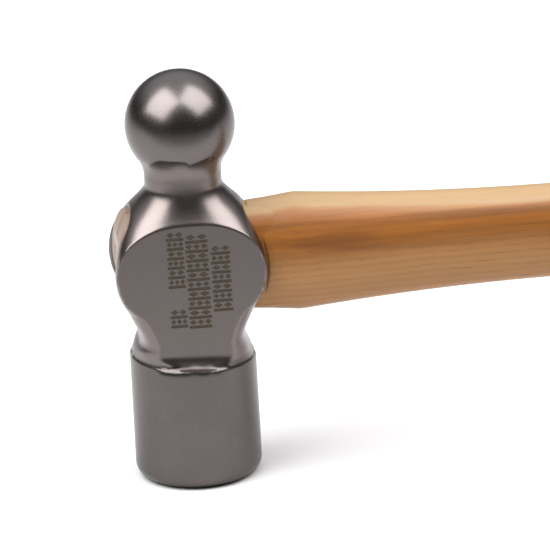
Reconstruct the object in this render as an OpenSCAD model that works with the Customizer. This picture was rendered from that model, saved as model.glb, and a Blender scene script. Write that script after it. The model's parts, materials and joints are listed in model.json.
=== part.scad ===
// Ball peen hammer: a forged head on a hickory handle, held by one wooden and two steel wedges.
// Millimetres. The head's axis is Z with the striking face on Z = 0, and the handle runs along +X.

/* [Face end] */
// Diameter of the round poll that carries the striking face
face_d = 39.1; // [34:0.2:42]
// Radius of the rounded edge between the striking face and the poll's side
face_edge_r = 4.2; // [1:0.1:6]
// Height where the straight side of the poll ends
face_len = 38.5; // [30:0.2:40]
// Radius of the worn edge on top of the poll
poll_edge_r = 1.5; // [0.8:0.1:1.6]
// Radius of the hollow between the poll and the waist
waist_fillet_r = 6.3; // [5:0.1:6.6]
// Height from the end of the poll's straight side to the narrowest place of the waist
waist_rise = 8.3; // [8:0.1:10]

/* [Head] */
// Height of the head from its striking face to the top of the ball
head_len = 131; // [126:0.2:145]
// Diameter of the waist
waist_d = 32.3; // [31.6:0.1:34]
// Height from the waist to the middle of the eye, which is the handle's centre line
eye_rise = 22.8; // [22:0.1:26]
// Width of the body along the handle
body_w = 47.2; // [44:0.2:54]
// Thickness across the two flat cheeks
cheek_t = 31.4; // [28.5:0.2:34]
// Height of each cheek's top edge above the middle of the eye
cheek_rise = 15.9; // [14:0.1:18]
// Radius of the rounded ends of the body, where the eye opens
barrel_r = 28.5; // [27:0.5:34]
// Height from the middle of the eye to the narrowest place of the neck
neck_rise = 27.9; // [26:0.1:30]
// Diameter of the neck
neck_d = 23.9; // [20:0.1:26]
// Radius of the hollow between the neck and the ball
neck_fillet_r = 3; // [2:0.1:4]
// Diameter of the ball
ball_d = 34; // [30:0.1:37]

/* [Eye] */
// Height of the eye at its middle, where it is tightest
eye_h = 30; // [26:0.2:32]
// Width of the eye at its middle
eye_w = 19.6; // [16:0.2:21]
// How much taller the eye is at the far mouth, where the wedges go in, on each side
flare_far_h = 3.2; // [1:0.1:3.6]
// How much wider the eye is at the far mouth, on each side
flare_far_w = 2.2; // [0.5:0.1:2.6]
// How much taller the eye is at the handle's mouth, on each side
flare_near_h = 2; // [0.5:0.1:2.2]
// How much wider the eye is at the handle's mouth, on each side
flare_near_w = 1.5; // [0.5:0.1:2]

/* [Handle] */
// Distance from the head's axis to the handle's butt
handle_reach = 376; // [300:1:400]
// Distance from the head's axis to the thickest place of the shoulder
shoulder_x = 34; // [30:0.5:40]
// How much taller the shoulder is than the eye's near mouth, on each side
shoulder_over_h = 1.5; // [1.5:0.1:3]
// How much wider the shoulder is than the eye's near mouth, on each side
shoulder_over_w = 1.9; // [1.5:0.1:3]
// Length over which the shoulder thins down to the slim part
shoulder_run = 80; // [60:1:100]
// Height of the slim part
slim_h = 29.2; // [25:0.2:32]
// Width of the slim part
slim_w = 21.6; // [19:0.2:24]
// Distance from the head's axis to where the grip begins to swell
grip_start = 150; // [130:1:170]
// Distance from the head's axis to the thickest place of the grip
grip_x = 305; // [250:1:330]
// Height of the grip
grip_h = 35; // [32:0.2:40]
// Width of the grip
grip_w = 26; // [24:0.2:30]
// How far the rounding of the butt reaches along the handle
butt_round = 9; // [6:0.5:14]

/* [Wedges] */
// How far the tenon's rounded end stays inside the head's widest place
tenon_in = 1.2; // [0:0.1:3]
// Radius of the tenon's rounded end
tenon_round_r = 32; // [28:0.5:45]
// How far above the middle of the eye the tenon's end reaches out most
tenon_round_rise = 1.5; // [0:0.1:3]
// Length of the wooden wedge
wood_wedge_len = 32; // [24:1:38]
// Thickness of the wooden wedge at its wide end
wood_wedge_t = 4.2; // [3:0.1:5]
// Thickness of the wooden wedge at its thin end
wood_wedge_tip = 0.9; // [0.5:0.1:1.2]
// How far the saw kerf goes on past the wooden wedge
kerf_spare = 3; // [1:0.5:6]
// Length of each steel wedge
steel_wedge_len = 22; // [16:1:26]
// Wood left beside each steel wedge, on each side, at the middle of the eye
steel_wedge_side = 2.3; // [2:0.1:5]
// Thickness of each steel wedge at its wide end
steel_wedge_t = 2.6; // [1.8:0.1:3.2]
// Thickness of each steel wedge at its thin end
steel_wedge_tip = 0.8; // [0.4:0.1:1.2]
// Distance between the two steel wedges
steel_wedge_gap = 16; // [12:0.5:19]

/* [Fits] */
// Gap between the tenon and the wall of the eye
eye_fit = 0.05; // [0.03:0.01:0.2]
// Gap between the handle's shoulder and the head
shoulder_fit = 0.4; // [0.2:0.1:1]
// Gap round each wedge
wedge_fit = 0.04; // [0.02:0.01:0.1]

/* [Hidden] */
$fn = 96;

face_r = face_d / 2;
waist_r = waist_d / 2;
waist_z = face_len + waist_rise;
eye_z = waist_z + eye_rise;
neck_z = eye_z + neck_rise;
neck_r = neck_d / 2;
ball_r = ball_d / 2;
ball_z = head_len - ball_r;
body_end = body_w / 2;
barrel_x = body_end - barrel_r;
tenon_end = -body_end + tenon_in;
shoulder_h = eye_h + 2 * (flare_near_h + shoulder_over_h);
shoulder_w = eye_w + 2 * (flare_near_w + shoulder_over_w);
steel_wedge_w = eye_w - 2 * steel_wedge_side;
slot_past = 6;             // how far cutting shapes reach past the surface that they cut
eye_past = 1;              // how far the tenon reaches into the handle's shoulder
cheek_slope = 0.95;        // how fast the forging widens from the cheek's edge towards the eye
barrel_blend = 3;          // softness of the join between the body's ends and the waist and neck
cheek_blend = 4;           // the same, on the sides that carry the cheeks
body_square = 2;           // how much squarer than an ellipse the body is at the eye
eye_square = 3;          // exponent of the eye's oval, where 2 is an ellipse
handle_square = 2.3;       // the same for the handle
shoulder_slope = 0.11;     // how fast the handle thins from its shoulder towards the head
butt_flat = 0.62;          // share of the handle's size that the flat of the butt keeps
butt_taper = 0.1;          // share of its size that the grip loses before the butt
seam = 0.08;               // how far the body's ends stay inside the turned ends that they meet
ball_bite = 0.05;          // how far the neck's hollow cuts into the ball, so that they cross
body_rings = 32;           // number of sections along the head's body
body_sides = 56;           // number of points round each of them
eye_rings = 8;
eye_sides = 40;
handle_sides = 32;
butt_rings = 6;
arc_steps = 8;

// The larger of two sizes, with a soft corner where they cross
function soft_max(u, v, soft) =
    let (h = min(max(0.5 + 0.5 * (u - v) / soft, 0), 1)) v + (u - v) * h + soft * h * (1 - h);

// Runs smoothly from 0 to 1
function ease(s) = let (t = min(max(s, 0), 1)) t * t * (3 - 2 * t);

function signed_power(v, p) = sign(v) * pow(abs(v), p);

// An oval between an ellipse (square = 2) and a rectangle, as a list of points
function oval(half_u, half_v, square, sides) =
    [for (i = [0 : sides - 1]) let (t = 360 * i / sides)
        [half_u * signed_power(cos(t), 2 / square), half_v * signed_power(sin(t), 2 / square)]];

// Points along an arc in the plane of a turned profile
function arc(centre, r, from, to) =
    [for (i = [0 : arc_steps]) let (t = from + (to - from) * i / arc_steps)
        centre + r * [cos(t), sin(t)]];

// Height of the body's section number k, counted from the waist
function body_z(k) = waist_z + (neck_z - waist_z) * k / body_rings;

// Half sizes of the head's body at height z
function barrel(z) = barrel_x + sqrt(max(barrel_r * barrel_r - pow(z - eye_z, 2), 0));
function stem_r(z) = (z > eye_z ? neck_r : waist_r) - seam;
function body_half_x(z) = soft_max(barrel(z), stem_r(z), barrel_blend);
function body_half_y(z) = soft_max(cheek_t / 2 + cheek_slope * (cheek_rise - abs(z - eye_z)),
                                   stem_r(z), cheek_blend);
function body_oval(z) =
    2 + body_square * max(body_half_x(z) - stem_r(z), 0) / (body_end - stem_r(z));

// Half sizes of the eye at distance x along it, with the far mouth on the negative side
function flare(x, far, near) = (x < 0 ? far : near) * abs(x) / body_end;
function eye_half_h(x) = eye_h / 2 + flare(x, flare_far_h, flare_near_h);
function eye_half_w(x) = eye_w / 2 + flare(x, flare_far_w, flare_near_w);

// Size of the handle at distance x from the head's axis, from its three named places
function handle_size(x, shoulder, slim, grip) =
    x < shoulder_x ? shoulder - 2 * shoulder_slope * (shoulder_x - x) :
    x < grip_start ? slim + (shoulder - slim) * pow(max(1 - (x - shoulder_x) / shoulder_run, 0), 2) :
    x < grip_x ? slim + (grip - slim) * ease((x - grip_start) / (grip_x - grip_start)) :
    grip * (1 - butt_taper * ease((x - grip_x) / (handle_reach - grip_x)));

// Share of the handle's size that is left inside the rounding of the butt
function butt_share(x) =
    let (s = max(x - handle_reach + butt_round, 0) / butt_round)
        butt_flat + (1 - butt_flat) * sqrt(max(1 - s * s, 0));

// Evenly spaced places from one distance up to, and not including, the next
function places(from, to, steps) = [for (k = [0 : steps - 1]) from + (to - from) * k / steps];

// Places of the handle's sections, closest together in the rounding of the butt
handle_start = body_end / 2;
butt_start = handle_reach - butt_round;
handle_places = concat(
    places(handle_start, shoulder_x, 4),
    places(shoulder_x, shoulder_x + shoulder_run, 12),
    places(shoulder_x + shoulder_run, grip_start, 2),
    places(grip_start, grip_x, 10),
    places(grip_x, butt_start, 5),
    [for (k = [0 : butt_rings]) butt_start + butt_round * sin(90 * k / butt_rings)]);

// Closed solid through a list of rings that all have the same number of points
module loft(rings) {
    sides = len(rings[0]);
    last = len(rings) - 1;
    skin = [for (k = [0 : last - 1]) for (i = [0 : sides - 1])
        let (j = (i + 1) % sides, a = k * sides, b = a + sides)
            each [[a + i, b + i, b + j], [a + i, b + j, a + j]]];
    start = [for (i = [0 : sides - 1]) i];
    end = [for (i = [sides - 1 : -1 : 0]) last * sides + i];
    polyhedron(points = [for (ring = rings) each ring], faces = concat(skin, [start, end]));
}

// Turned end with the striking face, up to the waist. The cone between the worn edge and the hollow
// touches both of their arcs.
module face_end() {
    edge = [face_r - poll_edge_r, face_len];
    hollow = [waist_r + waist_fillet_r, waist_z];
    apart = hollow - edge;
    turn = atan2(apart.y, apart.x) - acos((poll_edge_r + waist_fillet_r) / norm(apart));
    rotate_extrude()
        polygon(concat(
            [[0, 0]],
            arc([face_r - face_edge_r, face_edge_r], face_edge_r, -90, 0),
            arc(edge, poll_edge_r, 0, turn),
            arc(hollow, waist_fillet_r, 180 + turn, 180),
            [[0, waist_z]]));
}

// Forged body round the eye, from the waist to the neck, with its two ground cheeks
module body() {
    intersection() {
        loft([for (k = [0 : body_rings])
            let (z = body_z(k))
                [for (p = oval(body_half_x(z), body_half_y(z), body_oval(z), body_sides))
                    [p.x, p.y, z]]]);
        translate([-body_w, -cheek_t / 2, waist_z])
            cube([2 * body_w, cheek_t, neck_z - waist_z]);
    }
}

// Turned end with the ball, from the neck up
module peen_end() {
    hollow_x = neck_r + neck_fillet_r;
    reach = ball_r + neck_fillet_r - ball_bite;
    hollow_z = ball_z - sqrt(reach * reach - hollow_x * hollow_x);
    turn = atan2(ball_z - hollow_z, hollow_x);
    rotate_extrude()
        polygon(concat(
            [[0, neck_z], [neck_r, neck_z]],
            arc([hollow_x, hollow_z], neck_fillet_r, 180, 180 - turn),
            [[0, ball_z]]));
    translate([0, 0, ball_z])
        sphere(r = ball_r);
}

// Space of the eye along X between two distances, made smaller by a fit
module eye_space(from, to, fit) {
    loft([for (k = [0 : eye_rings])
        let (x = k < eye_rings / 2 ? from * (1 - 2 * k / eye_rings) : to * (2 * k / eye_rings - 1))
            [for (p = oval(eye_half_w(x) - fit, eye_half_h(x) - fit, eye_square, eye_sides))
                [x, p.x, eye_z + p.y]]]);
}

module head() {
    color("dimgray")
        difference() {
            union() {
                face_end();
                body();
                peen_end();
            }
            eye_space(-body_end - slot_past, body_end + slot_past, 0);
        }
}

// Part of the handle that fills the eye, rounded at its far end
module tenon() {
    intersection() {
        eye_space(tenon_end - slot_past, body_end + eye_past, eye_fit);
        union() {
            translate([tenon_end + tenon_round_r, 0, eye_z + tenon_round_rise])
                rotate([90, 0, 0])
                    cylinder(r = tenon_round_r, h = body_w, center = true);
            translate([0, -body_w, eye_z - body_w])
                cube(2 * body_w);
        }
    }
}

// Tapered slip that points along +X: its wide end reaches past the tenon's end
module slip(length, wide, thin, width, fit) {
    wide_half = wide / 2 + fit;
    thin_half = thin / 2 + fit;
    past_half = wide_half + (wide_half - thin_half) * slot_past / length;
    translate([tenon_end, 0, eye_z])
        rotate([90, 0, 0])
            translate([0, 0, -width / 2 - fit])
                linear_extrude(width + 2 * fit)
                    polygon([[-slot_past, -past_half], [length + fit, -thin_half],
                             [length + fit, thin_half], [-slot_past, past_half]]);
}

// Steel wedge, lying across the wooden one
module steel_slip(fit) {
    slip(steel_wedge_len, steel_wedge_t, steel_wedge_tip, steel_wedge_w, fit);
}

// Wooden wedge, upright in the tenon's kerf
module wood_slip(fit) {
    translate([0, 0, eye_z])
        rotate([90, 0, 0])
            translate([0, 0, -eye_z])
                slip(wood_wedge_len, wood_wedge_t, wood_wedge_tip, 2 * eye_h, fit);
}

// Saw kerf past the tip of the wooden wedge
module kerf() {
    kerf_half = wood_wedge_tip / 2 + wedge_fit;
    translate([tenon_end, -kerf_half, eye_z - eye_h])
        cube([wood_wedge_len + kerf_spare, 2 * kerf_half, 2 * eye_h]);
}

module steel_slots() {
    for (side = [-1, 1])
        translate([0, 0, side * steel_wedge_gap / 2])
            steel_slip(wedge_fit);
}

// Space that the body takes, seen from the side and made larger by a fit
module body_side(fit) {
    rotate([90, 0, 0])
        linear_extrude(2 * body_w, center = true)
            polygon(concat([[0, waist_z]],
                           [for (k = [0 : body_rings]) [body_half_x(body_z(k)) + fit, body_z(k)]],
                           [[0, neck_z]]));
}

// Outer shape of the handle from its shoulder, which follows the body, to its butt
module grip() {
    difference() {
        loft([for (x = handle_places)
            let (share = butt_share(x))
                [for (p = oval(share * handle_size(x, shoulder_w, slim_w, grip_w) / 2,
                               share * handle_size(x, shoulder_h, slim_h, grip_h) / 2,
                               handle_square, handle_sides))
                    [x, p.x, eye_z + p.y]]]);
        body_side(shoulder_fit);
    }
}

module handle() {
    color("peru")
        difference() {
            union() {
                grip();
                tenon();
            }
            wood_slip(wedge_fit);
            kerf();
            steel_slots();
        }
}

module wood_wedge() {
    color("burlywood")
        difference() {
            intersection() {
                wood_slip(0);
                tenon();
            }
            steel_slots();
        }
}

module steel_wedge_at(side) {
    color("gray")
        intersection() {
            translate([0, 0, side * steel_wedge_gap / 2])
                steel_slip(0);
            tenon();
        }
}

module steel_wedge_upper() {
    steel_wedge_at(1);
}

module steel_wedge_lower() {
    steel_wedge_at(-1);
}

head();
handle();
wood_wedge();
steel_wedge_upper();
steel_wedge_lower();
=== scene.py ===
# %% [markdown]
# # A ball peen hammer
# A ball peen hammer has a forged steel head with a flat round face at one end and a ball at the other,
# and a hickory handle that runs through an oval eye. Three wedges spread the end of the handle inside the
# eye.
#
# The imported CAD model gives the true sizes and stays where it is. Everything made here is built round it,
# so the first step opens it.

# %% Open the fixed frame
import json
import math

import bmesh
import bpy
import numpy as np
from mathutils import Matrix, Vector
from mathutils.kdtree import KDTree


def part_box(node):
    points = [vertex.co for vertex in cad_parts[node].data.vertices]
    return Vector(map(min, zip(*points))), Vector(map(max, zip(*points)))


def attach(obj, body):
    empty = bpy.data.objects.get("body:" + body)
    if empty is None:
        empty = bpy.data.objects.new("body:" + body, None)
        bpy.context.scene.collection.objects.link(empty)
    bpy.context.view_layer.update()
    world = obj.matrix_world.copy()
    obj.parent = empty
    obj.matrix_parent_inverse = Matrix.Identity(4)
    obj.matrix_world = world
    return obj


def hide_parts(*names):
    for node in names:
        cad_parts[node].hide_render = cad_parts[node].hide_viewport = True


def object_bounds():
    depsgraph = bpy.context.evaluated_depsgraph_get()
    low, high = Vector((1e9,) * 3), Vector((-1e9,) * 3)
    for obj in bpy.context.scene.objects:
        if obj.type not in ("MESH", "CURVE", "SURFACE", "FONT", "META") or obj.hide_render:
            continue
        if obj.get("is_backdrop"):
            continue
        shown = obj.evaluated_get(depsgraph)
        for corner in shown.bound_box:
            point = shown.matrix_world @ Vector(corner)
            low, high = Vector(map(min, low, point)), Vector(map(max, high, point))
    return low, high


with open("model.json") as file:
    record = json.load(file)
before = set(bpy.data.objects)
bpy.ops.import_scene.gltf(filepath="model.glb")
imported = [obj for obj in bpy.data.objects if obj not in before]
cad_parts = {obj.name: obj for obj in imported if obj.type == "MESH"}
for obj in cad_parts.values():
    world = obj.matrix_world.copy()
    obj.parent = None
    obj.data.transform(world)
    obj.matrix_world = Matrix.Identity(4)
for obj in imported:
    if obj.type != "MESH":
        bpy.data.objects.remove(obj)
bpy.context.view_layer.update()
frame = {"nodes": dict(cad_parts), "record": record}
print("CAD nodes:", sorted(frame["nodes"]))

# %% [markdown]
# ## The camera
# A long lens from far away draws a tool almost without perspective, the way catalogue pictures do. The
# camera looks down at the head from a little to its left and is rolled by three degrees, so the hammer
# leans slightly in the frame. It could be turned by hand. Working out its three directions as vectors
# keeps the aim exact.

# %% Camera
MM = 0.001
turn, tilt, roll = (math.radians(angle) for angle in (-4, 20.5, 3.2))
towards_camera = Vector((math.sin(turn) * math.cos(tilt), -math.cos(turn) * math.cos(tilt), math.sin(tilt)))
level_right = Vector((math.cos(turn), math.sin(turn), 0))
level_up = towards_camera.cross(level_right)
view_right = level_right * math.cos(roll) - level_up * math.sin(roll)
view_up = level_right * math.sin(roll) + level_up * math.cos(roll)

camera = bpy.data.objects.new("camera", bpy.data.cameras.new("camera"))
bpy.context.scene.collection.objects.link(camera)
bpy.context.scene.camera = camera
camera.data.lens = 900
view_width = 170.6 * MM
aim = (view_right * 23.35 + view_up * 60.05) * MM
distance = view_width * camera.data.lens / camera.data.sensor_width
camera.matrix_world = Matrix.Translation(aim + towards_camera * distance) @ Matrix(
    (view_right, view_up, towards_camera)).transposed().to_4x4()
camera.data.clip_end = 60
print("camera distance, metres:", round(distance, 2))

# %% [markdown]
# ## Sizes of the real parts
# The head and the handle are drawn by formulas in millimetres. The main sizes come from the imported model:
# its boxes and the mounts in its record. The rest are the radii and blends that give the forging its
# shape.

# %% Sizes taken from the frame
mounts = {mount["name"]: mount for mount in frame["record"]["mounts"]}
head_box = [np.array(corner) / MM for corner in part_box("head")]
handle_box = [np.array(corner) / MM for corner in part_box("handle")]
cheek = mounts["cheek_back"]["pos_m"][1] / MM
eye_z = mounts["cheek_back"]["pos_m"][2] / MM
grip_x = mounts["grip"]["pos_m"][0] / MM
head_len = head_box[1][2]
handle_reach = handle_box[1][0]
tenon_end = handle_box[0][0]
print("head length %.1f, handle to %.1f, eye at %.1f mm" % (head_len, handle_reach, eye_z))

# %% Sizes of the forging
face_r, face_edge_r, face_len = head_box[1][1], 4.2, 38.5
shoulder_edge_r, waist_fillet_r = 1.5, 6.3
waist_z, waist_r, waist_half_y, waist_square = eye_z - 22.8, 16.15, 18.2, 3.2
neck_z, neck_r = eye_z + 27.9, 11.95
ball_r = 17.0
ball_z = head_len - ball_r
body_end, barrel_r, corner_r = 23.6, 28.5, 19.7
barrel_x = body_end - barrel_r
cheek_rise, cheek_slope = 15.9, 0.95
barrel_blend, cheek_blend = 4.5, 7.6
print("waist at %.1f, neck at %.1f, middle of the ball at %.1f mm" % (waist_z, neck_z, ball_z))

# %% [markdown]
# ## Soft meetings
# Where two surfaces of a forging meet there is always a small radius. Taking the larger of two sizes
# would leave a crease there. These helpers take it softly instead, which costs nothing and works on a
# whole array of points at once.

# %% Shape helpers
def soft_max(u, v, soft):
    """The larger of two sizes, with a soft corner where they cross."""
    h = np.clip(0.5 + 0.5 * (u - v) / soft, 0, 1)
    return v + (u - v) * h + soft * h * (1 - h)


def soft_min(u, v, soft):
    """The smaller of two sizes, softened the same way."""
    return -soft_max(-u, -v, soft)


def ease(t):
    """Runs smoothly from 0 to 1."""
    t = np.clip(t, 0, 1)
    return t * t * (3 - 2 * t)


def arc(centre, r, start, end, steps):
    """Points along an arc of a turned profile, as rows of radius and height."""
    t = np.radians(np.linspace(start, end, steps))
    return np.array(centre) + r * np.stack([np.cos(t), np.sin(t)], 1)


print("soft_max(1, 1, 0.4) rounds a corner by %.2f mm" % (soft_max(1, 1, 0.4) - 1))

# %% [markdown]
# ## Rings
# Every shape on this hammer is a skin through closed rings. A ring of the body isn't a plain ellipse: the
# forging is squarish and its two cheeks are ground flat. Points spaced by angle would crowd on the cheeks
# and leave the ends coarse, so each quarter is sampled finely first and then spaced evenly along its
# length.

# %% Rings of the forging
QUARTER, FINE_STEPS, NO_LIMIT = 72, 1500, 99.0


def section(half_x, half_y, square, flat, turned=NO_LIMIT, soft=0.45):
    """One quarter of a section between an ellipse (square = 2) and a rectangle.

    Its corner is turned to a radius and its side is ground to a flat."""
    t = (1 - np.cos(np.linspace(0, math.pi, FINE_STEPS))) * math.pi / 4
    x = half_x * np.cos(t).clip(0) ** (2 / square)
    y = half_y * np.sin(t) ** (2 / square)
    out = np.hypot(x, y)
    lathe = soft_min(out, turned, 0.8)
    x, y = x * lathe / out, soft_min(y * lathe / out, flat, soft)
    along = np.concatenate([[0], np.cumsum(np.hypot(np.diff(x), np.diff(y)))])
    even = np.linspace(0, along[-1], QUARTER + 1)
    return np.interp(even, along, x), np.interp(even, along, y)


def whole_ring(x, y, z):
    """Mirrors one quarter into a closed ring of 3-D points."""
    xs = np.concatenate([x[:-1], -x[:0:-1], -x[:-1], x[:0:-1]])
    ys = np.concatenate([y[:-1], y[:0:-1], -y[:-1], -y[:0:-1]])
    return np.stack([xs, ys, np.full(len(xs), float(z))], 1)


print("points round one ring:", 4 * QUARTER)

# %% [markdown]
# ## The face end
# The round end is turned on a lathe, so a profile spun about the axis describes it: the flat that
# strikes, a rounded edge so that it doesn't chip, the straight side, a small worn edge on top, then a
# cone that runs into the hollow of the waist. The waist itself is squarish, because the dies and the
# cheek grinding shape it, so the cheek flats run on below it.

# %% Profile of the face end
edge = np.array([face_r - shoulder_edge_r, face_len])
hollow = np.array([waist_r + waist_fillet_r, waist_z])
apart = hollow - edge
cone_turn = math.degrees(math.atan2(apart[1], apart[0])
                         - math.acos((shoulder_edge_r + waist_fillet_r) / np.hypot(*apart)))
flat_r = face_r - face_edge_r
face_profile = np.concatenate([
    np.stack([np.linspace(0.4, flat_r - 0.3, 20), np.zeros(20)], 1),
    arc((flat_r, face_edge_r), face_edge_r, -90, 0, 20),
    np.stack([np.full(70, face_r), np.linspace(face_edge_r, face_len, 72)[1:-1]], 1),
    arc(edge, shoulder_edge_r, 0, cone_turn, 9)])
cone_end = arc(hollow, waist_fillet_r, 180 + cone_turn, 180 + cone_turn, 1)[0]
cone_rows = np.linspace(face_profile[-1], cone_end, 14)[1:-1]
waist_profile = np.concatenate([cone_rows, arc(hollow, waist_fillet_r, 180 + cone_turn, 180, 30)])
print("cone leaves the side at %.1f degrees" % cone_turn)

# %% Rings of the face end
RUNOUT_Z, RUNOUT_R = 43.6, 4.8


def face_ring(r, z):
    """A round ring of the turned end."""
    return whole_ring(*section(r, r, 2, NO_LIMIT), z)


def cheek_limit(z):
    """Half thickness left by the grinding, which ends below the waist in a hollow as round as the wheel."""
    below = min(max(RUNOUT_Z - z, 0), RUNOUT_R)
    return cheek + RUNOUT_R - math.sqrt(RUNOUT_R ** 2 - below ** 2)


def waist_ring(r, z):
    """Round at the face end's edge and squarish at the waist."""
    share = float(ease((z - face_len - 0.8) / (waist_z - face_len - 3)))
    half_y = r + (waist_half_y - waist_r) * share
    square = 2 + (waist_square - 2) * share
    turned = corner_r if share else face_r
    return whole_ring(*section(r, half_y, square, cheek_limit(z), turned, 1.7 - 0.9 * share), z)


face_rings = [face_ring(*row) for row in face_profile]
waist_rings = [waist_ring(*row) for row in waist_profile]
print("face end rings:", len(face_rings) + len(waist_rings))

# %% [markdown]
# ## Dents in the upper edge
# The edge above the round end is knocked in use, and it was never quite square to the axis. A list of
# dents at seeded angles, each a soft dip that fades above and below the edge, gives the same knocks on
# every run. Three deeper ones lie together at the front left, where the edge is rubbed bright, partly by
# wear and partly as a painted highlight.

# %% Dents and lean
DENTS, DENT_HALF_ANGLE, LEAN, EDGE_RINGS = 46, 0.085, 0.05, 22
dent_at = np.random.default_rng(7).uniform(-math.pi, math.pi, DENTS)
dent_deep = np.random.default_rng(8).uniform(0.05, 0.24, DENTS)
dent_at[:3], dent_deep[:3] = np.radians([-124, -118, -111]), [0.42, 0.5, 0.36]


def knock(ring):
    """Leans one ring and presses the dents into it."""
    z = ring[0, 2]
    angle = np.arctan2(ring[:, 1], ring[:, 0])
    near_edge = math.exp(-((z - face_len - 1.0) / 1.1) ** 2)
    ring[:, 2] -= LEAN * ring[:, 0] * ease((z - 35) / 4) * ease((46.5 - z) / 5)
    for at, deep in zip(dent_at, dent_deep):
        away = np.angle(np.exp(1j * (angle - at))) / DENT_HALF_ANGLE
        ring[:, :2] *= 1 - (deep * near_edge * np.exp(-away ** 2) / face_r)[:, None]


for ring in face_rings[-EDGE_RINGS:] + waist_rings:
    knock(ring)
print("dents: %d, deepest %.2f mm" % (DENTS, dent_deep.max()))

# %% [markdown]
# ## The body round the eye
# Two barrel-shaped ends carry the mouths of the eye, and two flat cheeks are ground on the sides. Above
# each cheek the forging swells and rolls over into the neck, which leaves the arched edge that such heads
# show. Near the eye's mouths the surface rolls in a little, because a forging has no knife edges.

# %% Half sizes of the body
EYE_SQUARE, EYE_HALF_H, EYE_HALF_W = 3.0, 15, 9.8
FLARE_FAR, FLARE_NEAR = (3.2, 2.2), (2.0, 1.5)


def barrel(z):
    """Half length of the body where its end is an arc seen from the side."""
    return barrel_x + np.sqrt(np.maximum(barrel_r ** 2 - (z - eye_z) ** 2, 0))


def stem_r(z):
    """The neck's radius above the eye and the waist's below it."""
    return np.where(z > eye_z, neck_r, waist_r)


def body_half_x(z):
    """Half length of the body, blended into the neck and the waist."""
    return soft_max(barrel(z), stem_r(z), barrel_blend)


def body_half_y(z):
    """Half thickness before the cheeks are ground."""
    stem, blend = (neck_r, cheek_blend) if z > eye_z else (waist_half_y, 3)
    return soft_max(cheek + cheek_slope * (cheek_rise - abs(z - eye_z)), stem, blend)


def body_square(z):
    """2 is round. It grows with how far the body stands out from the neck or the waist."""
    swell = 2 + 2 * np.maximum(body_half_x(z) - stem_r(z), 0) / (body_end - stem_r(z))
    return max(swell, waist_square) if z < eye_z else swell


def eye_half(x):
    """Half height and half width of the eye, which widens to both mouths."""
    reach = np.abs(x) / body_end
    flare_h, flare_w = (np.where(x < 0, far, near) for far, near in zip(FLARE_FAR, FLARE_NEAR))
    return EYE_HALF_H + flare_h * reach, EYE_HALF_W + flare_w * reach


print("body at the eye: half length %.1f, square %.1f" % (body_half_x(eye_z), body_square(eye_z + 0.1)))

# %% Rings of the body
RIM = 0.9


def rolled_rim(points):
    """Lowers the skin round both mouths of the eye by a small rounding."""
    half_h, half_w = eye_half(points[:, 0])
    out = ((np.abs(points[:, 1]) / half_w) ** EYE_SQUARE
           + (np.abs(points[:, 2] - eye_z) / half_h) ** EYE_SQUARE) ** (1 / EYE_SQUARE)
    gap = np.clip((out - 1) * half_w, 0, RIM)
    drop = RIM - np.sqrt(RIM ** 2 - (RIM - gap) ** 2)
    ends = np.abs(points[:, 0]) > body_end / 2
    points[:, 0] -= np.sign(points[:, 0]) * np.where(ends, drop, 0)
    return points


body_rings = []
for z in np.linspace(waist_z, neck_z, 170)[1:-1]:
    turned = corner_r + 25 * float(ease((z - waist_z) / 9))
    soft = 0.4 + 0.4 * float(ease((waist_z + 8 - z) / 8))
    ring = whole_ring(*section(body_half_x(z), body_half_y(z), body_square(z), cheek, turned, soft), z)
    body_rings.append(rolled_rim(ring))
print("body rings:", len(body_rings), "widest %.2f mm" % max(r[:, 0].max() for r in body_rings))

# %% [markdown]
# ## The neck and the ball
# The ball is turned and polished down to a line where the cutter stopped. Below that line the neck keeps
# the shape of the dies, with soft ridges, so the line isn't level: it dips in a sharp notch at the front
# where a ridge comes up to it. A sphere on a cylinder would miss this. Here the line's height is given at
# a few angles, and the neck's rings climb to it while the ball's rings start from it.

# %% Line between the neck and the ball
round_angle = np.arctan2(face_rings[0][:, 1], face_rings[0][:, 0])
from_front = np.degrees(np.angle(np.exp(1j * (round_angle + math.pi / 2))))
LINE_DROP = [(-180, 9.4), (-172, 8.0), (-165, 9.4), (-130, 10.8), (-60, 10.6), (-44, 8.4), (-30, 6.9),
             (-6, 6.9), (1, 7.5), (6, 8.9), (12, 8.5), (20, 7.8), (35, 6.9), (47, 8.4), (62, 10.5),
             (130, 10.8), (165, 9.4), (173, 8.0), (180, 9.4)]
crease_z = ball_z - np.interp(from_front, *zip(*LINE_DROP))
crease_r = np.sqrt(ball_r ** 2 - (ball_z - crease_z) ** 2)
print("ball line from %.1f to %.1f mm" % (crease_z.min(), crease_z.max()))

# %% Rings of the neck and the ball
NECK_STEPS, BALL_STEPS = 44, 75
step_in = 0.08 + 0.30 * np.exp(-((from_front - 5) / 34) ** 2)
ridge = 1 - 0.016 * (1 - np.cos(4 * round_angle)) / 2


def spun(r, z):
    """A ring whose radius and height may differ at each angle."""
    return np.stack([r * np.cos(round_angle), r * np.sin(round_angle), z + 0 * r], 1)


neck_rings = []
for t in np.linspace(0, 1, NECK_STEPS):
    rise = neck_z + (crease_z - 0.25 - neck_z) * t
    soft_ridge = 1 + (ridge - 1) * ease(t * 3) * (1 - 0.5 * t)
    neck_rings.append(spun((neck_r + (crease_r - step_in - neck_r) * t ** 2.6) * soft_ridge, rise))
crease_rings = [spun(crease_r - 0.12, crease_z - 0.08), spun(crease_r, crease_z + 0.12)]
start_angle = np.arcsin((crease_z + 0.35 - ball_z) / ball_r)
ball_rings = []
for t in np.linspace(0, 1, BALL_STEPS, endpoint=False):
    height = start_angle + (math.pi / 2 - start_angle) * t
    ball_rings.append(spun(ball_r * np.cos(height), ball_z + ball_r * np.sin(height)))
head_rings = face_rings + waist_rings + body_rings + neck_rings + crease_rings + ball_rings
print("rings from the face to the top of the ball:", len(head_rings))

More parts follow.
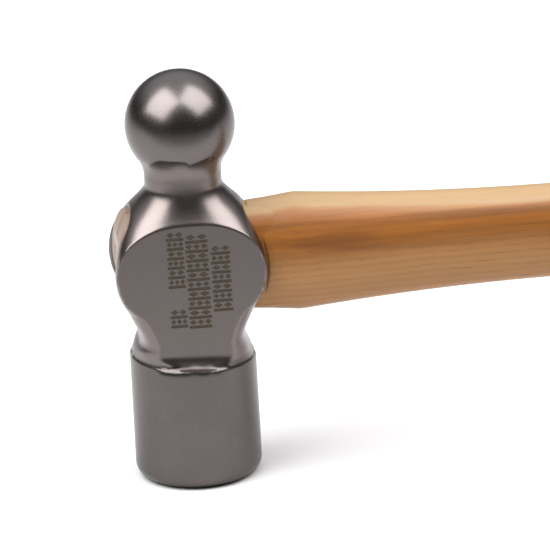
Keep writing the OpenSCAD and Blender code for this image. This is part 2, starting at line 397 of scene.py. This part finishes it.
# %% [markdown]
# ## From rings to a solid
# Blender can bridge edge loops by hand in Edit Mode. Here the faces between two rings are numbered in
# code, which is exact and quick. Both ends close in a point, so the skin has no hole and can be cut like
# a solid.

# %% Skin through rings
def solid(name, points, faces):
    """A new piece from points in millimetres and the point numbers of its faces."""
    mesh = bpy.data.meshes.new(name)
    mesh.from_pydata((np.array(points) * MM).tolist(), [], faces)
    mesh.validate()
    piece = bpy.data.objects.new(name, mesh)
    bpy.context.scene.collection.objects.link(piece)
    return piece


def skin(name, rings, start_tip, end_tip):
    """A closed solid through rings of equally many points, with a point at each end.

    Its faces look outwards where the rings run anticlockwise as seen from the last one."""
    sides = len(rings[0])
    i = np.arange(sides)
    j = (i + 1) % sides
    faces = []
    for k in range(len(rings) - 1):
        a, b = k * sides, (k + 1) * sides
        faces += np.stack([a + i, a + j, b + j, b + i], 1).tolist()
    last, tip = (len(rings) - 1) * sides, len(rings) * sides
    faces += np.stack([j, i, 0 * i + tip], 1).tolist()
    faces += np.stack([last + i, last + j, 0 * i + tip + 1], 1).tolist()
    return solid(name, np.concatenate([*rings, [start_tip], [end_tip]]), faces)


head = skin("hammer_head", head_rings, (0, 0, 0), (0, 0, head_len))
print("head skin:", len(head.data.polygons), "faces")

# %% [markdown]
# ## Cutting
# Holes are cut the way a workshop does it, by taking one solid away from another. Blender's Boolean
# modifier does this. Its result is applied at once and the cutter is thrown away, so only finished pieces
# stay.

# %% One boolean cut
def cut(piece, tool, operation="DIFFERENCE"):
    """Combines piece with tool and removes the tool."""
    step = piece.modifiers.new("cut", "BOOLEAN")
    step.object, step.operation, step.solver = tool, operation, "MANIFOLD"
    graph = bpy.context.evaluated_depsgraph_get()
    result = bpy.data.meshes.new_from_object(piece.evaluated_get(graph))
    piece.modifiers.remove(step)
    old, piece.data = piece.data, result
    bpy.data.meshes.remove(old)
    bpy.data.objects.remove(tool)
    print(piece.name, operation.lower(), len(piece.data.polygons), "faces")


# %% The eye
def oval_ring(x, half_h, half_w, sides, square):
    """A ring across the handle's direction at distance x."""
    t = np.linspace(0, 2 * math.pi, sides, endpoint=False)
    y = half_w * np.sign(np.cos(t)) * np.abs(np.cos(t)) ** (2 / square)
    z = half_h * np.sign(np.sin(t)) * np.abs(np.sin(t)) ** (2 / square)
    return np.stack([x + 0 * y, y, eye_z + z], 1)


EYE_REACH, EYE_SIDES = 30, 120
eye_rings = [oval_ring(x, *eye_half(x), EYE_SIDES, EYE_SQUARE)
             for x in np.linspace(-EYE_REACH, EYE_REACH, 41)]
cut(head, skin("eye_cutter", eye_rings, (-EYE_REACH, 0, eye_z), (EYE_REACH, 0, eye_z)))

# %% [markdown]
# ## The mark on the cheek
# Heads like this carry a dark etched mark on one cheek. This one gets a plain pattern of bars and
# lozenges that says nothing. It has real depth, about a seventh of a millimetre, so its edges catch
# light. Each figure is a small prism, and all the prisms are cut in one go.

# %% Figures of the mark
ROW_PITCH, BAR_HEIGHT, LOZENGE_HEIGHT = 3.1, 0.95, 1.8
MARK_BLOCKS = [(-4.6, 5.2, 53.0, 59.6), (-4.6, 5.2, 66.0, 84.6), (2.0, 7.0, 52.4, 85.4),
               (9.2, 6.0, 57.4, 80.6)]


def bar(x, z, wide):
    """Corners of a bar round its middle."""
    w, h = wide / 2, BAR_HEIGHT / 2
    return [(x - w, z - h), (x + w, z - h), (x + w, z + h), (x - w, z + h)]


def lozenge(x, z, wide):
    """Corners of a lozenge round its middle."""
    w, h = wide / 2, LOZENGE_HEIGHT / 2
    return [(x, z - h), (x + w, z), (x, z + h), (x - w, z)]


mark_figures = []
for middle, wide, low, high in MARK_BLOCKS:
    for row, z in enumerate(np.arange(low, high - 2.6, ROW_PITCH)):
        mark_figures.append(bar(middle, z + 0.45, wide))
        count = 2 + (row + int(wide)) % 2
        for n in range(count):
            x = middle + wide * ((n + 0.5) / count - 0.5)
            mark_figures.append(lozenge(x, z + 2.0, wide / count * 0.9))
mark_low = np.min([np.min(figure, 0) for figure in mark_figures], 0)
mark_high = np.max([np.max(figure, 0) for figure in mark_figures], 0)
print("mark:", len(mark_figures), "figures,", np.round(mark_high - mark_low, 1), "mm")

# %% Cut the mark
MARK_DEPTH = 0.14


def prism(outline, near, far, first=0):
    """Points and faces of a prism along Y from rows of x and z. first is the number of its first point."""
    count = len(outline)
    points = [(x, y, z) for y in (near, far) for x, z in outline]
    faces = [[first + i for i in range(count)], [first + count + i for i in reversed(range(count))]]
    for i in range(count):
        a, b = first + i, first + (i + 1) % count
        faces.append([b, a, a + count, b + count])
    return points, faces


mark_points, mark_faces = [], []
for figure in mark_figures:
    points, faces = prism(figure, -cheek - 0.5, -cheek + MARK_DEPTH, len(mark_points))
    mark_points += points
    mark_faces += faces
cut(head, solid("mark_cutter", mark_points, mark_faces))

# %% [markdown]
# ## The handle
# The handle is turned and shaved from one billet: a stout shoulder against the head, a slimmer waist
# behind it, a swelling grip and a rounded butt. Its outline comes from three named places with smooth
# runs between them. Rings are close together near the shoulder, where the arris is rounded over, and at
# the butt.

# %% Outline of the handle
shoulder_x, shoulder_run, grip_start, butt_round = 34, 80, 150, 9
butt_start = handle_reach - butt_round
SHOULDER, SLIM, GRIP = np.array([37, 26.4]), np.array([29.2, 21.6]), np.array([35, 26])
SHOULDER_SLOPE, GRIP_TAPER, BUTT_FLAT = 0.22, 0.1, 0.62


def handle_size(x):
    """Full height and width of the handle, before the butt is rounded."""
    if x < shoulder_x:
        return SHOULDER - SHOULDER_SLOPE * (shoulder_x - x)
    if x < grip_start:
        return SLIM + (SHOULDER - SLIM) * max(1 - (x - shoulder_x) / shoulder_run, 0) ** 2
    if x < grip_x:
        return SLIM + (GRIP - SLIM) * float(ease((x - grip_start) / (grip_x - grip_start)))
    return GRIP * (1 - GRIP_TAPER * float(ease((x - grip_x) / (handle_reach - grip_x))))


def butt_share(x):
    """The share of its size that is left where the butt rounds over to its flat end."""
    s = max(x - butt_start, 0) / butt_round
    return BUTT_FLAT + (1 - BUTT_FLAT) * math.sqrt(max(1 - s * s, 0))


print("handle height and width at the grip, mm:", handle_size(grip_x))

# %% Skin of the handle
HANDLE_START, FINE_END, HANDLE_SIDES, HANDLE_SQUARE = 14, 28, 160, 2.3
SHOULDER_GAP, ARRIS = 0.4, 0.8


def rounded_arris(ring):
    """Pulls the skin in just behind the shoulder's end face, so that its edge is worn round."""
    behind = np.clip(ring[:, 0] - body_half_x(ring[:, 2]) - SHOULDER_GAP, 0, ARRIS)
    pull = ARRIS - np.sqrt(ARRIS ** 2 - (ARRIS - behind) ** 2)
    out = np.hypot(ring[:, 1], ring[:, 2] - eye_z)
    ring[:, 1] *= 1 - pull / out
    ring[:, 2] = eye_z + (ring[:, 2] - eye_z) * (1 - pull / out)
    return ring


places = np.concatenate([
    np.arange(HANDLE_START, FINE_END, 0.2),
    np.linspace(FINE_END, grip_start, 90),
    np.linspace(grip_start, butt_start, 90)[1:],
    butt_start + butt_round * np.sin(np.linspace(0, math.pi / 2, 24)[1:])])
grip_rings = []
for x in places:
    height, width = butt_share(x) / 2 * handle_size(x)
    grip_rings.append(rounded_arris(oval_ring(x, height, width, HANDLE_SIDES, HANDLE_SQUARE)))
butt_middle, butt_ring = np.array([handle_reach, 0, eye_z]), grip_rings[-1]
for share in np.linspace(1, 0, 10)[1:-1]:
    grip_rings.append(butt_middle + (butt_ring - butt_middle) * share)
handle = skin("hammer_handle", grip_rings, (HANDLE_START, 0, eye_z), butt_middle)
print("handle skin:", len(handle.data.polygons), "faces")

# %% [markdown]
# ## The shoulder and the tenon
# The maker fits the shoulder to the end of the head, so its end face is cut with the outline of the head.
# The tenon that goes on through the eye is made as its own solid and joined on. Its far end is sanded to
# a gentle curve after wedging, which is why its rings follow that curve and don't stay square to the
# handle.

# %% Shoulder cut
heights = np.linspace(eye_z - 25, eye_z + 25, 161)
end_outline = [(body_half_x(z) + SHOULDER_GAP, z) for z in heights]
cut(handle, solid("shoulder_cutter", *prism([(0, heights[0]), *end_outline, (0, heights[-1])], -40, 40)))

# %% Tenon
FIT, END_R, END_RISE, TENON_START = 0.05, 32.0, 1.5, FINE_END


def end_x(z):
    """Where the sanded end of the tenon lies."""
    return tenon_end + END_R - np.sqrt(END_R ** 2 - (z - eye_z - END_RISE) ** 2)


def tenon_ring(t, share=1.0):
    """t runs from 0 in the shoulder to 1 at the sanded end. share shrinks the ring towards the axis.

    A point's place along the tenon depends on its height and its height on the place, so both are found
    in turns."""
    ring = oval_ring(0.0, EYE_HALF_H, EYE_HALF_W, HANDLE_SIDES, EYE_SQUARE)
    for _ in range(3):
        ring[:, 0] = TENON_START + (end_x(ring[:, 2]) - TENON_START) * t
        half_h, half_w = eye_half(np.clip(ring[:, 0], -body_end, body_end))
        ring[:, 1:] = oval_ring(0.0, half_h - FIT, half_w - FIT, HANDLE_SIDES, EYE_SQUARE)[:, 1:]
    ring[:, 1] *= share
    ring[:, 2] = eye_z + (ring[:, 2] - eye_z) * share
    if share < 1:
        ring[:, 0] = end_x(ring[:, 2])
    return ring


tenon_rings = [tenon_ring(t) for t in np.linspace(0, 0.985, 60)]
tenon_rings += [tenon_ring(1.0, share) for share in (0.975, *np.linspace(0.94, 0.02, 26))]
tenon = skin("tenon", tenon_rings[::-1], (end_x(eye_z), 0, eye_z), (TENON_START, 0, eye_z))
cut(handle, tenon, "UNION")

# %% [markdown]
# ## Slots for the wedges
# A wooden wedge fills the saw kerf and two steel wedges cross it. They keep their exact CAD shapes. The
# slots they sit in are cut with copies of them that are a hair larger, so that no two solids share space.

# %% Slots
wedge_names = ["wood_wedge", "steel_wedge_upper", "steel_wedge_lower"]
SLOT_GROWTH = np.array([1.6, 0.08, 0.08])


def slot_cutter(name):
    """The closed hull round the wedge's corners, longer than the wedge and wider by a hair."""
    low, high = (np.array(corner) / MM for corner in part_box(name))
    middle = Matrix.Translation(Vector((low + high) / 2 * MM))
    grow = middle @ Matrix.Diagonal((*(1 + SLOT_GROWTH / (high - low)), 1)) @ middle.inverted()
    shape = bmesh.new()
    for vertex in frame["nodes"][name].data.vertices:
        shape.verts.new(grow @ vertex.co)
    bmesh.ops.convex_hull(shape, input=shape.verts)
    bmesh.ops.delete(shape, geom=[v for v in shape.verts if not v.link_faces], context="VERTS")
    bmesh.ops.recalc_face_normals(shape, faces=shape.faces)
    cutter = solid("slot_cutter", [], [])
    shape.to_mesh(cutter.data)
    shape.free()
    return cutter


for name in wedge_names:
    cut(handle, slot_cutter(name))

# %% [markdown]
# ## Wear, painted highlights and hollows
# Wear and dirt on steel follow the shape: edges are rubbed bright, partly by wear and partly as a painted
# highlight, and hollows stay dark. The rings of the skin form a grid, so the shape can be measured on it.
# Where the average of a point's neighbours lies below the surface, the point is on an edge, and where it
# lies above, the point is in a hollow.

# %% Measure edges and hollows of the head
def blurred(grid, rows, turns):
    """Averages a ring grid over neighbouring rings and round each ring."""
    padded = np.pad(grid, ((rows, rows), (0, 0), (0, 0)), mode="edge")
    total = sum(padded[k:k + len(grid)] for k in range(2 * rows + 1)) / (2 * rows + 1)
    return sum(np.roll(total, k, 1) for k in range(-turns, turns + 1)) / (2 * turns + 1)


grid = np.stack(head_rings)
along = np.gradient(grid, axis=0)
around = (np.roll(grid, -1, 1) - np.roll(grid, 1, 1)) / 2
normal = np.cross(around, along)
normal /= np.maximum(np.linalg.norm(normal, axis=2, keepdims=True), 1e-9)
mean = blurred(grid, 3, 2)
squares = (grid ** 2).sum(2, keepdims=True)
spread = blurred(squares, 3, 2) - 2 * (grid * mean).sum(2, keepdims=True) + squares
bend = 2 * ((grid - mean) * normal).sum(2) / np.maximum(spread[..., 0], 1e-6)
bend = blurred(bend[..., None], 1, 1)[..., 0]
print("bend per mm, lowest %.2f, highest %.2f" % (bend.min(), bend.max()))

# %% Put the measure on the finished mesh
tree = KDTree(bend.size)
for index, point in enumerate(grid.reshape(-1, 3) * MM):
    tree.insert(point, index)
tree.balance()
nearest = [tree.find(vertex.co)[1] for vertex in head.data.vertices]
bend_values = bend.reshape(-1)[nearest].astype(np.float32)
head.data.attributes.new("bend", "FLOAT", "POINT").data.foreach_set("value", bend_values)
print("measured vertices:", len(bend_values))

# %% [markdown]
# ## Smooth and sharp
# Curved steel has to shade smoothly, while the mouths of the eye and the edges of the mark stay crisp.
# Marking each edge sharp by the angle between its faces does both, and needs no extra geometry.

# %% Shade by angle
def shade(piece, angle):
    """Smooth shading, with a crease wherever two faces meet at more than angle degrees."""
    piece.data.shade_smooth()
    piece.data.set_sharp_from_angle(angle=math.radians(angle))


shade(head, 32)
shade(handle, 40)
print("shaded:", head.name, handle.name)

# %% [markdown]
# ## Finishes
# Every finish is a set of shader nodes. Written one by one they are hard to read, so a small class stands
# for one output socket. Its operators add Math nodes, and a finish then reads like a formula.

# %% Shader helper
class Wire:
    """One shader socket. Adding, multiplying and so on put Math nodes after it."""

    def __init__(self, socket):
        self.socket = socket

    def node(self, kind, settings=None, out=0, inputs=None):
        """Adds any node: its settings and ramp stops first, then its input values or links."""
        made = self.socket.id_data.nodes.new(kind)
        for name, value in (settings or {}).items():
            if name == "stops":
                ramp = made.color_ramp
                for _ in value[2:]:
                    ramp.elements.new(0.5)
                for element, (place, colour) in zip(ramp.elements, value):
                    element.position, element.color = place, colour
            else:
                setattr(made, name, value)
        for name, value in (inputs or {}).items():
            feed(made.inputs[name], value)
        return Wire(made.outputs[out])

    def maths(self, operation, *terms):
        """A Math node. A term may be a wire or a number."""
        return self.node("ShaderNodeMath", {"operation": operation}, inputs=dict(enumerate(terms)))

    def __add__(self, other):
        return self.maths("ADD", self, other)

    def __radd__(self, other):
        return self.maths("ADD", other, self)

    def __sub__(self, other):
        return self.maths("SUBTRACT", self, other)

    def __rsub__(self, other):
        return self.maths("SUBTRACT", other, self)

    def __mul__(self, other):
        return self.maths("MULTIPLY", self, other)

    def __rmul__(self, other):
        return self.maths("MULTIPLY", other, self)

    def __truediv__(self, other):
        return self.maths("DIVIDE", self, other)

    def __rtruediv__(self, other):
        return self.maths("DIVIDE", other, self)

    def __pow__(self, other):
        return self.maths("POWER", self, other)

    def __abs__(self):
        return self.maths("ABSOLUTE", self)

    def step(self, low, high):
        """0 below low, 1 above high, smooth between. low may be the larger one."""
        flip = low > high
        t = self.node("ShaderNodeMapRange", {"interpolation_type": "SMOOTHSTEP"},
                      inputs={"Value": self, "From Min": min(low, high), "From Max": max(low, high)})
        return 1 - t if flip else t

    def blend(self, a, b):
        """Colour a where this mask is 0 and colour b where it is 1."""
        return self.node("ShaderNodeMix", {"data_type": "RGBA"}, 2, {0: self, 6: a, 7: b})

    def ramp(self, *stops):
        """A colour for each value. A stop is a place and a colour."""
        return self.node("ShaderNodeValToRGB", {"stops": stops}, inputs={0: self})

    def stretched(self, x, y, z):
        """A position with each axis multiplied, which squeezes or stretches a texture."""
        return self.node("ShaderNodeVectorMath", {"operation": "MULTIPLY"}, inputs={0: self, 1: (x, y, z)})

    def noise(self, scale, detail, rough):
        """Noise of 0 to 1 with about scale grains to a millimetre."""
        inputs = {"Vector": self, "Scale": scale, "Detail": detail, "Roughness": rough}
        return self.node("ShaderNodeTexNoise", inputs=inputs)

    def parts(self):
        """The three numbers of a vector."""
        split = self.node("ShaderNodeSeparateXYZ", inputs={0: self}).socket.node
        return [Wire(split.outputs[k]) for k in range(3)]


def feed(socket, value):
    """Gives a socket a value, or links a wire into it."""
    if isinstance(value, Wire):
        socket.id_data.links.new(value.socket, socket)
    else:
        socket.default_value = value


def srgb(r, g, b):
    """A colour picked on a screen, 11 to 255, as the linear numbers that shaders use."""
    return (*(((v / 255 + 0.055) / 1.055) ** 2.4 for v in (r, g, b)), 1)


def finish(name, **constants):
    """A new material. Returns it with its shader and the object's own coordinates in millimetres."""
    material = bpy.data.materials.new(name)
    material.use_nodes = True
    shader = material.node_tree.nodes["Principled BSDF"]
    for socket, value in constants.items():
        shader.inputs[socket.replace("_", " ")].default_value = value
    start = Wire(material.node_tree.nodes.new("ShaderNodeTexCoord").outputs["Object"])
    return material, shader, start.stretched(1000, 1000, 1000)


def bump(height, depth, shader):
    """Feeds a height in millimetres into the shader's normal."""
    wire = height.node("ShaderNodeBump", inputs={"Height": height, "Distance": depth * MM})
    feed(shader.inputs["Normal"], wire)


print("shader helper ready")

# %% [markdown]
# ## Steel
# The head is one steel with several finishes: turned rings on the face end, a wheel's straight grain on
# the cheeks, polish on the ball and the skin of the dies on the neck. Masks made from position choose
# between them. Their base colours differ only a little, and roughness and fine bumps do the rest.

# %% Steel finish
steel, shader, place = finish("forged_steel", Metallic=1.0)
x, y, z = place.parts()
facing_y = abs(place.node("ShaderNodeNewGeometry", out="Normal").parts()[1])
flat_cheek = facing_y.step(0.985, 0.998) * z.step(40, 42) * z.step(92, 90)
poll = z.step(41.5, 40.5)
ball = z.step(ball_z - 9.5, ball_z - 7)
as_forged = (1 - flat_cheek) * (1 - poll) * (1 - ball)
bend_wire = place.node("ShaderNodeAttribute", {"attribute_name": "bend"}, "Fac")
wear_sheen_noise = place.noise(0.35, 4, 0.6)
edge_zone = z.step(37, 38.5) * z.step(42.5, 41)
# Part wear, part painted highlight: rubbed edges, brightest on the edge above the round end.
worn_and_sheen = bend_wire.step(0.16, 0.6) * z.step(4, 8) * wear_sheen_noise.step(0.35, 0.6) * (0.35 + 0.65 * edge_zone)
hollow_mask = bend_wire.step(-0.08, -0.35)

cloud = place.noise(0.09, 5, 0.6)
fine = place.noise(1.6, 4, 0.6)
speck = place.noise(3.2, 2, 0.5)
ground_lines = place.stretched(2.2, 0.4, 0.12).noise(1.0, 4, 0.6)
turned_lines = place.stretched(0.02, 0.02, 3.0).noise(1.0, 4, 0.65)

tone = 0.30 + 0.4 * cloud + 0.3 * fine
base = tone.ramp((0.3, srgb(76, 73, 71)), (0.75, srgb(96, 90, 88)))
base = (flat_cheek * 0.6).blend(base, srgb(113, 106, 103))
base = (ball * 0.6).blend(base, srgb(104, 98, 97))
base = (as_forged * 0.8).blend(base, srgb(114, 106, 104))
base = (hollow_mask * 0.5).blend(base, srgb(64, 56, 54))
# Rubbed edges made bright: wear with a painted highlight on top.
base = (worn_and_sheen * 0.8).blend(base, srgb(184, 178, 176))
feed(shader.inputs["Base Color"], base)
rough = 0.31 + 0.10 * (cloud - 0.5) + 0.12 * (fine - 0.5) + 0.10 * flat_cheek - 0.03 * ball - 0.03 * worn_and_sheen
feed(shader.inputs["Roughness"], rough)
height = (flat_cheek * (ground_lines - 0.5) * 0.8 + poll * (turned_lines - 0.5) * 0.7
          + as_forged * (fine - 0.5) * 1.2 + (speck - 0.5) * 0.25)
bump(height, 0.022, shader)
head.data.materials.clear()
head.data.materials.append(steel)
print("steel nodes:", len(steel.node_tree.nodes))

# %% [markdown]
# ## The etched mark
# Etching leaves a dark, dull bottom in the figures. It could be a mask in the steel, but a material of
# its own follows the cut edges exactly. It is given to the faces whose middles lie just under the cheek
# and inside the mark's outline.

# %% Mark finish
etched, shader, place = finish("etched_steel", Metallic=0.3)
grain = place.noise(1.8, 4, 0.6)
feed(shader.inputs["Base Color"], grain.ramp((0.3, srgb(40, 33, 22)), (0.75, srgb(84, 72, 52))))
feed(shader.inputs["Roughness"], 0.5 + 0.2 * (grain - 0.5))
bump(grain, 0.05, shader)
head.data.materials.append(etched)
middles = np.zeros(len(head.data.polygons) * 3)
head.data.polygons.foreach_get("center", middles)
middles = middles.reshape(-1, 3) / MM
below_cheek = middles[:, 1] + cheek
inside = ((middles[:, ::2] > mark_low - 0.1) & (middles[:, ::2] < mark_high + 0.1)).all(1)
sunk = (below_cheek > 0.03) & (below_cheek < 0.3) & inside
head.data.polygons.foreach_set("material_index", sunk.astype(np.int32))
print("faces in the mark:", int(sunk.sum()))

# %% [markdown]
# ## Hickory
# Hickory grows in rings, and a handle is split from the log along its grain. So the pattern is solid:
# rings round a pith that lies outside the handle, cut open by whatever surface the maker shaved. That
# draws long lines on the sides, pointed arches where the surface slopes, and end grain on the cut ends,
# all by itself.

# %% Hickory finish
RING_SPACING, PITH_BEHIND, PITH_BELOW = 2.1, 26, 84
hickory, shader, place = finish("hickory", Coat_Weight=0.12, Coat_Roughness=0.3, IOR=1.35)
x, y, z = place.parts()
wander = place.stretched(0.006, 0.03, 0.03).noise(1.0, 3, 0.5)
ripple = place.stretched(0.02, 0.2, 0.2).noise(1.0, 3, 0.5)
pith_y = y + PITH_BEHIND + 5 * (ripple - 0.5)
pith_z = z - eye_z + PITH_BELOW - 0.012 * x + 6 * (wander - 0.5) + 1.2 * (ripple - 0.5)
out = (pith_y * pith_y + pith_z * pith_z) ** 0.5
ring_at = out / RING_SPACING
share = ring_at.maths("FRACT", ring_at)
early = share.step(0.0, 0.15) * share.step(0.6, 0.2)
streak = place.stretched(0.008, 0.30, 0.30).noise(1.0, 5, 0.6)
fibre = place.stretched(0.05, 4.0, 4.0).noise(1.0, 3, 0.6)
pore = place.stretched(0.10, 3.0, 3.0).noise(1.0, 2, 0.5).step(0.60, 0.72) * (0.2 + 0.8 * early)
upward = place.node("ShaderNodeNewGeometry", out="Normal").parts()[2]
# Painted light: the upper side near the head is made paler, as light from above falls on it.
painted_top_light = (upward + 0.5 * (wander - 0.5) + 0.25 * (ripple - 0.5)).step(0.72, 0.90) * x.step(handle_reach, 120)
flame_x, flame_z = (x - 47) / 15, (z - eye_z - 7) / 4.6
from_flame = (flame_x * flame_x + flame_z * flame_z) ** 0.5
flame = (1 - from_flame + 1.6 * (ripple - 0.5)).step(-0.1, 0.8) * y.step(0, -4)
# Painted light: the lower side is made paler and greyer, as bounce light from the white floor makes it.
painted_floor_bounce = (z - eye_z + 9 * (ripple - 0.5)).step(7, -5)
base = streak.ramp((0.3, srgb(102, 60, 18)), (0.5, srgb(126, 74, 24)), (0.75, srgb(142, 90, 36)))
# Painted bounce light on the lower side.
base = (painted_floor_bounce * 0.8).blend(base, srgb(161, 117, 70))
base = (flame * 0.55).blend(base, srgb(92, 50, 20))
base = (early * 0.14).blend(base, srgb(94, 52, 18))
# Painted light: the paler upper side.
base = (painted_top_light * 0.8).blend(base, srgb(152, 130, 96))
base = (pore * 0.45).blend(base, srgb(70, 38, 16))
base = (0.12 * fibre).blend(base, srgb(170, 126, 76))
end_face = x.step(tenon_end + 11, tenon_end + 8)
base = (end_face * 0.85).blend(base, srgb(116, 98, 86))
feed(shader.inputs["Base Color"], base)
feed(shader.inputs["Roughness"], 0.42 + 0.16 * (fibre - 0.5) + 0.2 * pore)
bump(0.5 * (fibre - 0.5) - pore, 0.03, shader)
handle.data.materials.clear()
handle.data.materials.append(hickory)
print("hickory nodes:", len(hickory.node_tree.nodes))

# %% [markdown]
# ## Wedges
# The wooden wedge is cut from another piece, so its rings don't line up with the handle's. The steel
# wedges are sanded flush with the wood and keep the scratches of the belt. A wedge is a plain solid, so
# the CAD shapes are shown as they are and only get their finishes here.

# %% Wedge finishes
wedge_wood, shader, place = finish("wedge_wood")
grain = place.stretched(0.12, 2.6, 0.14).noise(1.0, 4, 0.6)
feed(shader.inputs["Base Color"], grain.ramp((0.3, srgb(106, 86, 70)), (0.75, srgb(136, 114, 96))))
feed(shader.inputs["Roughness"], 0.6 + 0.2 * (grain - 0.5))
bump(grain, 0.05, shader)

wedge_steel, shader, place = finish("wedge_steel", Metallic=1.0)
grain = place.stretched(0.6, 0.5, 4.0).noise(1.0, 4, 0.6)
feed(shader.inputs["Base Color"], grain.ramp((0.3, srgb(128, 122, 118)), (0.8, srgb(176, 170, 166))))
feed(shader.inputs["Roughness"], 0.36 + 0.2 * (grain - 0.5))
bump(grain, 0.02, shader)
for name in wedge_names:
    node = frame["nodes"][name]
    node.data.materials.clear()
    node.data.materials.append(wedge_wood if name == "wood_wedge" else wedge_steel)
print("wedges:", wedge_names)

# %% [markdown]
# ## Floor
# The hammer stands on its face on a plain pale floor that runs far past the picture, so there is no edge
# or horizon behind it. Towards the camera, out of the picture, the floor is coloured dark as painted shade,
# where a less lit floor would lie: the round end mirrors that part and takes its dark tone from it.

# %% Floor
FLOOR_R, FLOOR_SIDES = 30, 96
floor_ring = [(FLOOR_R / MM * math.cos(a), FLOOR_R / MM * math.sin(a), 0)
              for a in np.linspace(0, 2 * math.pi, FLOOR_SIDES, endpoint=False)]
floor = solid("floor", floor_ring, [list(range(FLOOR_SIDES))])
paper, shader, place = finish("pale_paper", Roughness=0.9)
# Painted shade: the floor towards the camera is coloured dark.
front_painted_shade = place.parts()[1].step(-105, -330)
pale, shaded = (0.64, 0.64, 0.64, 1), (0.23, 0.23, 0.23, 1)
feed(shader.inputs["Base Color"], front_painted_shade.blend(pale, shaded))
floor.data.materials.append(paper)
floor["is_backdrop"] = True
print("floor radius, metres:", FLOOR_R)

# %% [markdown]
# ## Light
# Two large soft boxes stand to the left and to the right, above the hammer. Polished steel shows them as
# two pale patches on the ball with a dark band between, which is what makes the ball read as round. The
# room behind the camera is dark, and the far side is pale, so the metal keeps its dark middle tones.

# %% Soft boxes
def soft_box(name, angle, height, reach, size, radiance):
    """A square area light aimed at the head. Its power follows from how bright its surface should be."""
    light = bpy.data.lights.new(name, "AREA")
    light.shape, light.size = "SQUARE", size
    light.energy = radiance * math.pi * size * size
    box = bpy.data.objects.new(name, light)
    a, h = math.radians(angle), math.radians(height)
    towards = Vector((math.sin(a) * math.cos(h), -math.cos(a) * math.cos(h), math.sin(h)))
    box.location = Vector((0.01, 0, 0.07)) + towards * reach
    box.rotation_euler = towards.to_track_quat("Z", "Y").to_euler()
    box.visible_camera = False
    bpy.context.scene.collection.objects.link(box)
    print("%s: %.0f W" % (name, light.energy))


soft_box("soft_box_left", -67, 54, 1.0, 0.95, 6.2)
soft_box("soft_box_right", 68, 57, 1.0, 0.90, 5.6)

# %% [markdown]
# ## The room
# The world stands for the rest of the studio. It is dark low down and on the camera's side and pale
# overhead and behind, so the neck and the cheeks have something dark to mirror. The picture is shown with
# plain screen colours, without a film look, so a white floor stays white.

# %% Room
world = bpy.data.worlds.new("room")
bpy.context.scene.world = world
world.use_nodes = True
sky = Wire(world.node_tree.nodes.new("ShaderNodeTexCoord").outputs["Generated"])
_, deep, high = sky.parts()
bright = (0.3 * deep + 0.95 * high).step(0.38, 0.9)
dark_side, pale_side = (0.09, 0.08, 0.08, 1), (1.15, 1.15, 1.2, 1)
feed(world.node_tree.nodes["Background"].inputs["Color"], bright.blend(dark_side, pale_side))
bpy.context.scene.view_settings.view_transform = "Standard"
print("world nodes:", len(world.node_tree.nodes))

# %% [markdown]
# ## Tie the pieces to the frame
# Each visible piece hides the CAD node it stands for and rides on the root body. Last, the outer box of
# everything is printed.

# %% Tie and finish
for piece, node, material_slot in ((head, "head", "forged_steel"), (handle, "handle", "hickory")):
    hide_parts(node)
    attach(piece, "root")
low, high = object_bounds()
print("shown box, metres:", [round(v, 4) for v in (*low, *high)])
